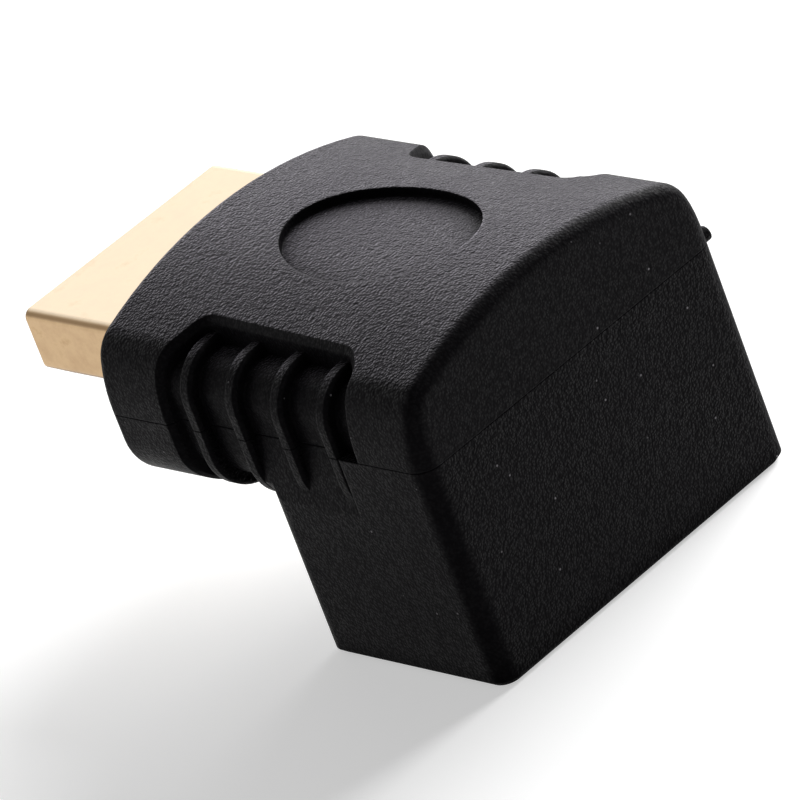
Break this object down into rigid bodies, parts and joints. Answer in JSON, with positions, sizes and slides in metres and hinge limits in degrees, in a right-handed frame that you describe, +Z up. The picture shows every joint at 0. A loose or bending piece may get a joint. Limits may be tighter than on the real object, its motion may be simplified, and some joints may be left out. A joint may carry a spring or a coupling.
{
  "type": "right angle video connector adapter",
  "caption": "Right angle video adapter: a flat D-shaped male plug at the front, a ribbed moulded body, and a matching female socket facing down.",
  "frame": {"origin": "centre of the plug's open end, on the plug's axis", "axes": "+X runs along the plug from its open end into the body, +Z points up, away from the socket's mouth, and Y runs across the width"},
  "size_m": [0.0308, 0.0209, 0.0175],
  "materials": {
    "body_pvc": "soft black moulded plastic with a fine spark-eroded grain",
    "gold_plate": "pale satin gold plating on formed sheet",
    "contact_plate": "bright gold plating on formed strip",
    "insulator": "plain black moulded insulator",
    "board": "green solder mask on glass laminate",
    "inner_mould": "natural white hot-moulded plastic"
  },
  "bodies": {
    "root": {"overmould": "body_pvc", "plug_shell": "gold_plate", "socket_shell": "gold_plate", "plug_insulator": "insulator", "socket_insulator": "insulator", "circuit_board": "board", "inner_mould": "inner_mould", "plug_contact_01": "contact_plate", "plug_contact_02": "contact_plate", "plug_contact_03": "contact_plate", "plug_contact_04": "contact_plate", "plug_contact_05": "contact_plate", "plug_contact_06": "contact_plate", "plug_contact_07": "contact_plate", "plug_contact_08": "contact_plate", "plug_contact_09": "contact_plate", "plug_contact_10": "contact_plate", "plug_contact_11": "contact_plate", "plug_contact_12": "contact_plate", "plug_contact_13": "contact_plate", "plug_contact_14": "contact_plate", "plug_contact_15": "contact_plate", "plug_contact_16": "contact_plate", "plug_contact_17": "contact_plate", "plug_contact_18": "contact_plate", "plug_contact_19": "contact_plate", "socket_contact_01": "contact_plate", "socket_contact_02": "contact_plate", "socket_contact_03": "contact_plate", "socket_contact_04": "contact_plate", "socket_contact_05": "contact_plate", "socket_contact_06": "contact_plate", "socket_contact_07": "contact_plate", "socket_contact_08": "contact_plate", "socket_contact_09": "contact_plate", "socket_contact_10": "contact_plate", "socket_contact_11": "contact_plate", "socket_contact_12": "contact_plate", "socket_contact_13": "contact_plate", "socket_contact_14": "contact_plate", "socket_contact_15": "contact_plate", "socket_contact_16": "contact_plate", "socket_contact_17": "contact_plate", "socket_contact_18": "contact_plate", "socket_contact_19": "contact_plate"}
  },
  "joints": []
}
